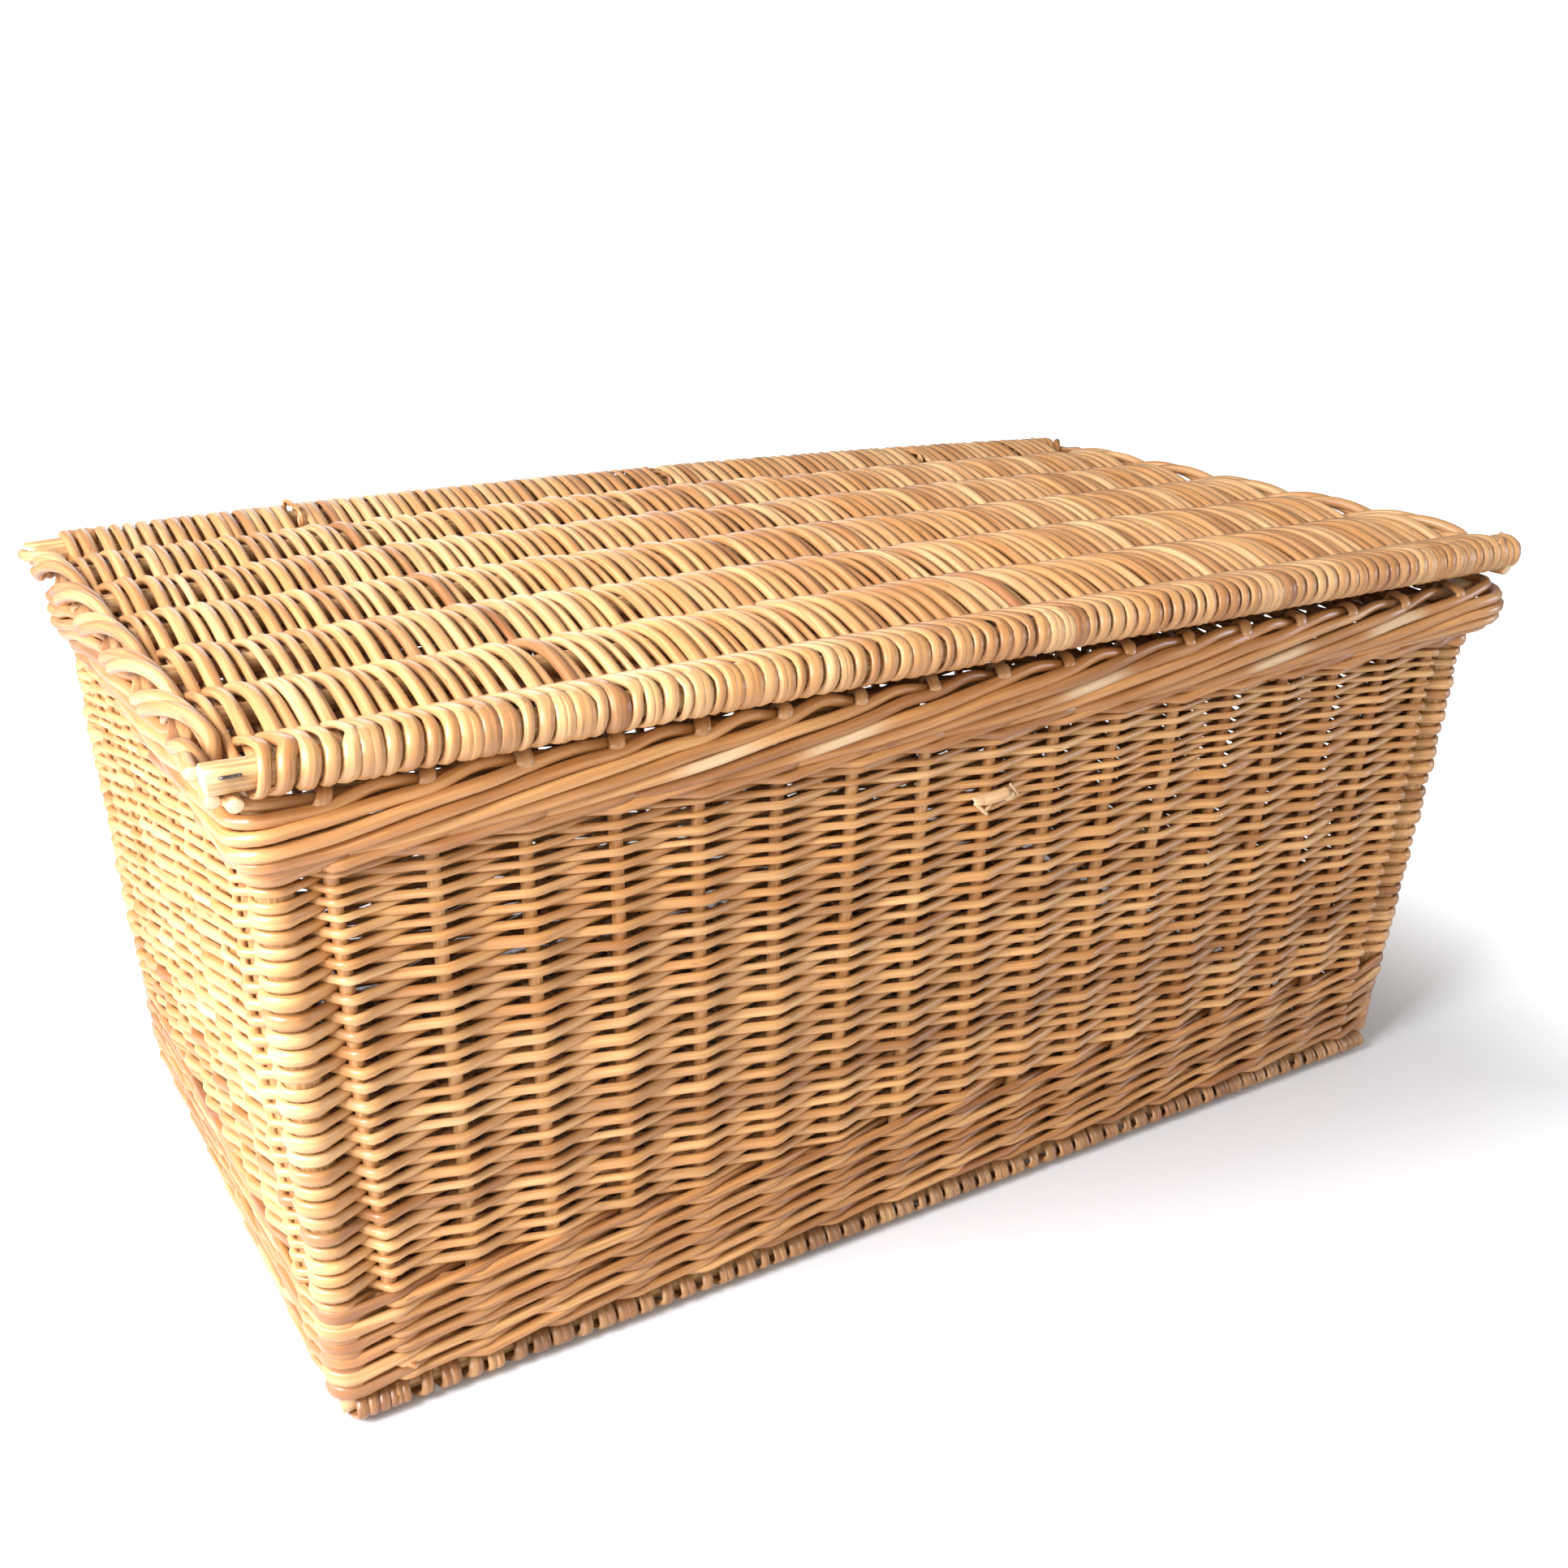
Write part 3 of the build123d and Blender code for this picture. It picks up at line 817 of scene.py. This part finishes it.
def border(rim, material):
    """The border: each stake's rod climbs along the outside past four stakes and turns in over the top."""
    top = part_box("border_front")[1].z
    rods = Rods(seed=40)
    passed, out, below = np.array(BORDER_PATH).T
    steps = np.arange(passed[0], passed[-1], BORDER_STEP)
    for stake in range(rim.stakes):
        shift = rods.draw.normal(0, BORDER_WANDER, (len(passed), 2))
        outward = smooth_through(steps, passed, out * MM + shift[:, 0])
        height = top + smooth_through(steps, passed, below * MM + shift[:, 1])
        thick = rods.draw.uniform(*BORDER_RODS)
        radius = BORDER_RADIUS * thick * np.interp(steps, *BORDER_THICKNESS)
        bare = np.zeros(len(steps))
        if stake in WORN_RODS or rods.draw.random() < WORN_CHANCE:
            worn = rods.draw.uniform(*WORN_MIDDLE)
            bare += WORN_BARE * np.exp(-(((steps - worn) / WORN_HALF) ** 4))
        samples = rim.samples(steps + stake, outward, height, radius)
        rods.add(samples, frame_reference(samples), sides=10, slant=0.8, bare=bare)
    border_straps(rim, rods, top)
    place(rods, "border_rods", material, "basket", [f"border_{s}" for s in SIDES])


def border_straps(rim, rods, top):
    """Each stake's head, bent outwards over the top of the border and a little scraped."""
    for stake in range(rim.stakes):
        path = np.array(STRAP_PATH) + rods.draw.normal(0, 1, (len(STRAP_PATH), 3)) * STRAP_JITTER
        radius = np.full(len(path), STRAP_RADIUS * rods.draw.uniform(*STRAP_RODS))
        places = stake + path[:, 0]
        samples = curve(rim.samples(places, path[:, 1] * MM, top + path[:, 2] * MM, radius), 2 * MM)
        outward = rim.at([stake])[1][0]
        bare = rods.draw.uniform(*STRAP_BARE)
        across = np.gradient(samples[:, :3], axis=0)
        reference = np.cross(across, (-outward[1], outward[0], 0))
        rods.add(samples, reference, flat=STRAP_FLATNESS, sides=10, bare=bare, tone=0.5)


def smooth_through(steps, knots, values):
    """Values at steps along a smooth curve through values at knots."""
    line = np.column_stack([knots, np.zeros_like(knots), values])
    dense = curve(line, (knots[-1] - knots[0]) / 400)
    return np.interp(steps, dense[:, 0], dense[:, 2])


def frame_reference(samples):
    """A direction for each sample that turns as little as it can along a strongly bent rod."""
    along = unit(np.gradient(samples[:, :3], axis=0))
    reference = np.empty_like(along)
    carried = np.array([0.0, 0.0, 1.0])
    for number, direction in enumerate(along):
        carried = carried - direction * np.dot(carried, direction)
        carried /= np.linalg.norm(carried)
        reference[number] = carried
    return reference


# ---------------- flat mats: the lid and the base


class Mat:
    """A flat mat of sticks along X, woven across with rods that turn round the two outer sticks."""

    def __init__(self, prefix, body, look, shape=None):
        """Look gives the mat an attribute for each of its entries. Shape moves the points of its pieces."""
        self.prefix, self.body, self.shape = prefix, body, shape
        for name, value in look.items():
            setattr(self, name, value)
        names = ["front_stick"] + [f"stick_{i}" for i in range(1, 6)] + ["back_stick"]
        self.sticks = [self._stick(f"{prefix}_{name}") for name in names]
        low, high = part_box(f"{prefix}_weave")
        self.start, self.end = low.x, high.x
        self.half_height = (high.z - low.z) / 2
        self.count = round((self.end - self.start) / self.pitch)
        self.level = (low.z + high.z) / 2

    @staticmethod
    def _stick(node):
        low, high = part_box(node)
        return {"node": node, "y": (low.y + high.y) / 2, "radius": (high.z - low.z) / 2, "half": high.x}

    def _place(self, rods, name, material, replaced):
        place(rods, name, material, self.body, replaced, self.shape)

    def add_sticks(self, material):
        """Each stick as a slightly uneven peeled rod. The inner ones end under the end twists."""
        twist_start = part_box(f"{self.prefix}_end_twist_right")[0].x
        for number, stick in enumerate(self.sticks):
            rods = Rods(seed=self.seed + 10 + number)
            outer = number in (0, len(self.sticks) - 1)
            half = stick["half"] if outer else twist_start + STICK_IN_TWIST
            places = np.linspace(-half, half, STICK_STEPS)
            sway = np.cumsum(rods.draw.normal(0, STICK_SWAY, (STICK_STEPS, 2)), axis=0)
            sway -= np.linspace(0, 1, STICK_STEPS)[:, None] * sway[-1]
            radii = stick["radius"] * rods.draw.uniform(*STICK_WEAR, STICK_STEPS)
            points = np.column_stack([places, stick["y"] + sway[:, 0], self.level + sway[:, 1], radii])
            rods.add(curve(points, 12 * MM), sides=16, slant=0.12, tone=0.5, warm=0.2)
            self._place(rods, f"{stick['node']}_wood", material, [stick["node"]])

    def _pass(self, place_number, radius):
        """How a rod passes a stick: Y, distance from the mat's middle, radius and flatness."""
        stick = self.sticks[place_number]
        if place_number in (0, len(self.sticks) - 1):
            width, flatness = radius * WRAP_WIDTH, self.wrap_flatness
            return np.array([stick["y"], self.half_height - width * flatness, width, flatness])
        height = (stick["radius"] + radius * self.crossing_flatness) * PRESS
        return np.array([stick["y"], height, radius, self.crossing_flatness])

    def _crossing(self, number, x, radius):
        """The points of one rod across the mat, from the front stick to the back one or back again."""
        facing = 1 if number % 2 == 0 else -1  # the rod passes the outer sticks on this side
        passes = np.array([self._pass(place_number, radius) for place_number in range(len(self.sticks))])
        passes[:, 1] *= facing * (-1.0) ** np.arange(len(passes))
        rows = []
        for here, following in zip(passes, passes[1:]):
            for share in GAP_SHARES:
                swing = np.array([share] + [(1 - math.cos(math.pi * share)) / 2] * 3)
                rows.append(here + (following - here) * swing)
        rows.append(passes[-1])
        points = [(x, y, self.level + height, width, 0, 0, facing, flat) for y, height, width, flat in rows]
        return points if number % 2 == 0 else points[::-1]

    def _turn(self, stick, x, next_x, radius, start_up, turns):
        """The turns round an outer stick between one crossing and the next, flattened on the stick."""
        outward = 1 if stick["y"] > 0 else -1
        flatness = self.wrap_flatness
        width = radius * WRAP_WIDTH
        reach = self.half_height - width * flatness
        whole = turns * 2 * math.pi
        points = []
        for angle in np.arange(WRAP_STEP, whole, WRAP_STEP):
            across, up = math.sin(angle) * outward, math.cos(angle) * start_up
            aside = (reach + self.overhang * max(across * outward, 0)) * across
            spot = (x + (next_x - x) * angle / whole, stick["y"] + aside, self.level + reach * up)
            points.append((*spot, width, 0, across, up, flatness))
        return points

    def _runs(self, draw):
        """Breaks the winding of the weave into rods: first and last crossing, and radius at both ends.

        Every rod starts and ends under the back stick, where its ends don't show.
        """
        runs = []
        first = 1
        while first < self.count:
            last = min(first + 2 * int(draw.integers(1, 3)), self.count)
            thick, thin = (draw.uniform(*shares) for shares in ROD_SHARES)
            ends = (thick, thin) if draw.random() < 0.5 else (thin, thick)
            runs.append((first, last, *ends))
            first = last
        return runs

    def add_weave(self, material, parted=()):
        """Weaves the mat. At the places in parted the rods stand apart near the back edge."""
        draw = np.random.default_rng([SEED, self.seed])
        runs = self._runs(draw)
        share = np.concatenate([np.linspace(start, end, last - first) for first, last, start, end in runs])
        share = share * SPACING_BY_RADIUS + share.mean() * (1 - SPACING_BY_RADIUS)
        spaced = (np.cumsum(share) - share / 2) / share.sum()
        places = self.start + (self.end - self.start) * np.concatenate([[0], spaced])
        for part, chunk in enumerate(np.array_split(np.arange(len(runs)), WEAVE_PARTS), start=1):
            rods = Rods(seed=self.seed + 20 + part)
            for run in chunk:
                self._weave_run(rods, runs[run], places, parted)
            if part == 1:
                self._add_coils(rods)
            replaced = [f"{self.prefix}_weave"] if part == 1 else []
            self._place(rods, f"{self.prefix}_weave_rods_{part}", material, replaced)

    def _weave_run(self, rods, run, places, parted):
        first, last, *ends = run
        lean = rods.draw.normal(0, ROD_LEAN)
        points = []
        for number in range(first, last):
            radius = self.rod_radius * np.interp(number, [first, max(last - 1, first + 1)], ends)
            across = self._crossing(number, places[number], radius)
            along = np.linspace(0, 1, len(across))
            drift = rods.draw.normal(0, ROD_DRIFT, len(self.sticks))
            wander = np.interp(along, np.linspace(0, 1, len(drift)), drift) + lean * (2 * along - 1)
            points += [(x + w, *rest) for (x, *rest), w in zip(across, wander)]
            stick = self.sticks[-1 if number % 2 == 0 else 0]
            start_up = 1 if number % 2 == 0 else -1
            following = places[min(number + 1, self.count - 1)]
            turns = 1.5 if rods.draw.random() < self.double_turns else 0.5
            points += self._turn(stick, places[number], following, radius, start_up, turns)
        points = np.array(points)
        for place_x in parted:
            points[:, 0] = self._parted(points, place_x)
        self._add_wound(rods, points, 6 * MM, 1.0)

    @staticmethod
    def _add_wound(rods, points, step, slant):
        samples = curve(points, step)
        rods.add(samples[:, :4], unit(samples[:, 4:7]), flat=samples[:, 7], slant=slant)

    def _add_coils(self, rods):
        """The rods coiled round the ends of the outer sticks, beside the weave."""
        for end in self.coiled_ends:
            for stick in (self.sticks[0], self.sticks[-1]):
                start = end * (self.end - self.rod_radius)
                stop = end * (stick["half"] - STICK_END_SHOWING)
                turns = round(abs(stop - start) / (COIL_PITCH * self.rod_radius))
                radius = self.rod_radius * rods.draw.uniform(*COIL_RODS)
                coil = np.array(self._turn(stick, start, stop, radius, 1, turns))
                coil[:, 0] += rods.draw.normal(0, COIL_SWAY, len(coil))
                self._add_wound(rods, coil, 4 * MM, 1.2)

    def _parted(self, points, place_x):
        """X of the points moved away from a hinge loop near the back stick."""
        before, length = PARTED_REACH
        near = eased((points[:, 1] - (self.sticks[-1]["y"] - before)) / length)
        away = points[:, 0] - place_x
        moved = np.sign(away + 1e-9) * np.sqrt(away**2 + (LOOP_ROOM * near) ** 2)
        fade = np.exp(-((away / PARTED_WIDTH) ** 2))
        return place_x + away + (moved - away) * fade

    def add_twists(self, material):
        """The two pairs of thick rods twisted together across each end, one half turn at each stick."""
        for number, (end, sign) in enumerate((("left", -1), ("right", 1))):
            node = f"{self.prefix}_end_twist_{end}"
            rods = Rods(seed=self.seed + 40 + number)
            for strand in range(len(TWIST_PHASES)):
                samples = self._twist_rod(rods.draw, node, sign, strand)
                rods.add(samples, frame_reference(samples), sides=10, slant=0.3)
            self._place(rods, f"{node}_rods", material, [node])

    def _twist_rod(self, draw, node, sign, strand):
        """One rod of an end twist, which leaves it near the outer sticks to end beside or under them."""
        low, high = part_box(node)
        middle, radius, last = (low.x + high.x) / 2, self.twist_radius, self.sticks[-1]["y"]
        spacing = self.sticks[1]["y"] - self.sticks[0]["y"]
        stop = last + TWIST_ENDS[strand]
        ys = np.linspace(-stop, stop, TWIST_STEPS)
        turn = math.pi * (ys + last) / spacing + math.radians(TWIST_PHASES[strand])
        sway = np.interp(ys, np.linspace(-last, last, 9), draw.normal(0, TWIST_SWAY, 9))
        x = middle - np.sin(turn) * self.twist_spread * ((high.x - low.x) / 2 - radius) + sway
        z = np.cos(turn) * ((high.z - low.z) / 2 - radius)
        aside = 2 * (strand % 2) - 1
        if strand < 2:  # this pair ends behind the outer sticks, the other one under them
            end_x, end_z = middle + sign * radius * (1.6 + aside), (0.9 * aside - 0.5) * radius
        else:
            end_x = middle + sign * 0.95 * radius * aside
            end_z = -min(self.sticks[-1]["radius"] + radius, self.level - radius)  # not below the floor
        before, length = TWIST_RUNOUT
        near = eased((np.abs(ys) - last + before) / length)
        x += (end_x - x) * near
        z += (end_z - z) * near
        return np.column_stack([x, ys, self.level + z, radius * np.linspace(*TWIST_TAPER, TWIST_STEPS)])


# ---------------- posts, stakes, hinges, nails


def corner_posts(uprights, material):
    """The corner posts, in the order in which a rod passes them."""
    for number, (corner, index) in enumerate(zip(CORNERS, np.flatnonzero(uprights.is_post))):
        node = f"corner_post_{corner}"
        low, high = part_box(node)
        rods = Rods(seed=90 + number)
        heights = np.linspace(low.z, high.z, 9)
        plan = uprights.line(index, heights)
        radii = POST_RADIUS * rods.draw.uniform(*POST_WEAR, len(heights))
        samples = curve(np.column_stack([plan, heights, radii]), 12 * MM)
        rods.add(samples, (1, 0, 0), sides=20, slant=0.12, tone=0.55)
        place(rods, f"{node}_wood", material, "basket", [node])


def wall_stakes(uprights, material):
    """The stakes that stand in the walls, thinner towards the top."""
    index = 0
    for number, side in enumerate(SIDES):
        node = f"stakes_{side}"
        low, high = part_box(node)
        rods = Rods(seed=100 + number)
        heights = np.linspace(low.z, high.z, 7)
        for _ in range(STAKES[side]):
            plan = uprights.line(index, heights)
            plan += rods.draw.normal(0, STAKE_SWAY, plan.shape)
            radii = STAKE_RADIUS * np.linspace(*STAKE_TAPER, len(heights))
            rods.add(curve(np.column_stack([plan, heights, radii]), 15 * MM), (1, 0, 0))
            index += 1
        index += 1  # the corner post
        place(rods, f"{node}_rods", material, "basket", [node])


def hinge_loops(material):
    """Each hinge: two thin rods twisted into a closed loop round the border and the lid's back stick."""
    for number, name in enumerate(LOOPS):
        node = f"hinge_loop_{name}"
        low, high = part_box(node)
        centre = middle_of(node)
        thick = (high.x - low.x) / 2
        halves = [size / 2 - thick + LOOP_SLACK for size in (high - low).yz]
        line = rounded_loop(*halves)
        share = travelled(line) / travelled(line)[-1]
        outward = unit(line / np.array(halves) ** 3)
        rods = Rods(seed=120 + number)
        for strand in range(2):
            angle = (share * LOOP_TURNS * 2 + strand) * math.pi
            plane = line + outward * (np.cos(angle) * thick / 2)[:, None]
            x = centre.x + np.sin(angle) * thick / 2
            radii = np.full(len(x), thick * LOOP_STRAND)
            points = np.column_stack([x, centre.y + plane[:, 0], centre.z + plane[:, 1], radii])
            rods.add(points, (1, 0, 0))
        place(rods, f"{node}_rods", material, "basket", [node])


def rounded_loop(half_y, half_z):
    """The closed outline of a rounded rectangle about the origin, as evenly spaced points."""
    line = []
    for quarter, (sign_y, sign_z) in enumerate(((1, 1), (-1, 1), (-1, -1), (1, -1))):
        for angle in np.linspace(quarter, quarter + 1, 10) * math.pi / 2:
            y = sign_y * (half_y - LOOP_CORNER) + LOOP_CORNER * math.cos(angle)
            z = sign_z * (half_z - LOOP_CORNER) + LOOP_CORNER * math.sin(angle)
            line.append((y, z))
    line = np.array(line + line[:1])
    travel = travelled(line)
    even = np.linspace(0, travel[-1], LOOP_STEPS)
    return np.column_stack([np.interp(even, travel, column) for column in line.T])


def nails(material, shape):
    """Four thin nails, each driven in near the end of an outer stick and clenched along it."""
    _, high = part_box("lid_nails")
    rods = Rods(seed=130)
    outer, y, z = high.x - NAIL_RADIUS, high.y - NAIL_RADIUS, high.z - NAIL_RADIUS
    path = (
        (outer, y - NAIL_BEND[0], z - NAIL_BEND[1]),
        (outer, y, z),
        (outer - NAIL_KNEE, y, z),
        (high.x - NAIL_REACH, y, z),
    )
    for sign_x in (-1, 1):
        for sign_y in (-1, 1):
            points = np.array([(sign_x * px, sign_y * py, pz, NAIL_RADIUS) for px, py, pz in path])
            rods.add(curve(points, 1 * MM), (0, 0.3, 1))
    place(rods, "lid_nails_steel", material, "lid", ["lid_nails"], shape)


def lid_warp(points):
    """The lid is a little warped: it stands up towards the front right and hangs at the back left."""
    low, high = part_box("lid_weave")
    front = np.clip((high.y - points[:, 1]) / (high.y - low.y), 0, 1)
    along = points[:, 0] / high.x
    lifts = {}
    for edge, (left, middle, right) in LID_LIFTS.items():
        lifts[edge] = middle + (right - left) / 2 * along + ((right + left) / 2 - middle) * along**2
    warped = points.copy()
    warped[:, 2] += lifts["back"] * (1 - front) + lifts["front"] * front
    return warped


# ---------------- stage


def pale_floor():
    """A white floor that looks evenly lit all round the hamper, but not under it."""
    material, tree, shader = new_material("pale_floor")
    _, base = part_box("base_weave")
    position = add_node(tree, "ShaderNodeNewGeometry", {}, "Position")
    along_x, along_y, _ = add_node(tree, "ShaderNodeSeparateXYZ", {0: position}).node.outputs
    outside = [
        calculate(tree, "SUBTRACT", calculate(tree, "ABSOLUTE", along), half)
        for along, half in ((along_x, base.x), (along_y, base.y))
    ]
    lit = band_ramp(tree, calculate(tree, "MAXIMUM", *outside), *GLOW_FROM)
    seen = add_node(tree, "ShaderNodeLightPath", {}, "Is Camera Ray")
    look = {
        "Base Color": (FLOOR_SHADE, FLOOR_SHADE, FLOOR_SHADE, 1),
        "Roughness": 0.7,
        "Emission Color": (1, 1, 1, 1),
        "Emission Strength": calculate(tree, "MULTIPLY", seen, lit),
    }
    set_inputs(tree, shader, look)
    return material


def stage():
    """A plain pale floor and soft studio lights: warm from the front, cooler from the sides and behind."""
    mesh = bpy.data.meshes.new("floor")
    corners = [(x * FLOOR_HALF, y * FLOOR_HALF, 0) for x, y in ((-1, -1), (1, -1), (1, 1), (-1, 1))]
    mesh.from_pydata(corners, [], [(0, 1, 2, 3)])
    mesh.materials.append(pale_floor())
    floor = bpy.data.objects.new("floor", mesh)
    bpy.context.scene.collection.objects.link(floor)

    world = bpy.data.worlds.new("studio")
    world.use_nodes = True
    tree = world.node_tree
    seen = add_node(tree, "ShaderNodeLightPath", {}, "Is Camera Ray")
    strength = calculate(tree, "MULTIPLY_ADD", seen, SKY_SEEN - SKY, SKY)
    set_inputs(tree, tree.nodes["Background"], {"Color": (1.0, 0.99, 0.98, 1), "Strength": strength})
    bpy.context.scene.world = world
    for light in LIGHTS:
        area_light(*light)


def area_light(name, where, target, size, power, colour):
    data = bpy.data.lights.new(name, "AREA")
    data.shape = "SQUARE"
    data.size = size
    data.energy = power
    data.color = colour
    light = bpy.data.objects.new(name, data)
    light.location = where
    light.rotation_mode = "QUATERNION"
    light.rotation_quaternion = (Vector(target) - Vector(where)).to_track_quat("-Z", "Y")
    bpy.context.scene.collection.objects.link(light)


def camera():
    """A camera in front of the left corner, looking down along the hamper."""
    azimuth, elevation, roll = (math.radians(angle) for angle in CAMERA_ANGLES)
    turn = Matrix.Rotation(-azimuth, 4, "Z") @ Matrix.Rotation(math.pi / 2 - elevation, 4, "X")
    data = bpy.data.cameras.new("camera")
    data.sensor_width = CAMERA_SENSOR
    data.lens = CAMERA_LENS
    seen_from = bpy.data.objects.new("camera", data)
    seen_from.matrix_world = Matrix.Translation(CAMERA_PLACE) @ turn @ Matrix.Rotation(roll, 4, "Z")
    bpy.context.scene.collection.objects.link(seen_from)
    bpy.context.scene.camera = seen_from


# ---------------- the hamper

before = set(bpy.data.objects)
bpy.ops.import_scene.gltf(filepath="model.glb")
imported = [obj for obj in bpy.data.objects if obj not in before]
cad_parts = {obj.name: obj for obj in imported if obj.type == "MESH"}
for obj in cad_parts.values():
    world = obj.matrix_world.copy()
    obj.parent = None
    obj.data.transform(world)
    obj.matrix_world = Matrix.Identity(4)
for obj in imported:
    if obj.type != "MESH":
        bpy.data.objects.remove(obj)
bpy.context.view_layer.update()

woven_willow = willow("woven_willow")
border_willow = willow("border_willow", roughness=0.36, coat=0.5)
mat_willow = willow("mat_willow", streaks=0.6)
upsett_willow = willow("upsett_willow", streaks=0.7)
worn_willow = willow("worn_willow", streaks=0.8)
peeled_stick = willow("peeled_stick", streaks=0.8)

uprights = Uprights()
rand(uprights, woven_willow)
wall_knot(uprights, woven_willow)
waling(uprights, UPSETT, upsett_willow)
waling(uprights, TOP_WALE, border_willow)
border(Rim(uprights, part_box("border_front")[0].z), border_willow)
corner_posts(uprights, peeled_stick)
wall_stakes(uprights, woven_willow)
hinge_loops(border_willow)

lid = Mat("lid", "lid", LID_LOOK, lid_warp)
lid.add_sticks(peeled_stick)
lid.add_weave(mat_willow, [middle_of(f"hinge_loop_{name}").x for name in LOOPS])
lid.add_twists(mat_willow)
nails(steel(), lid_warp)

base = Mat("base", "basket", BASE_LOOK)
base.add_sticks(peeled_stick)
base.add_weave(worn_willow)
base.add_twists(worn_willow)

stage()
camera()

bpy.context.scene.view_settings.view_transform = "Standard"
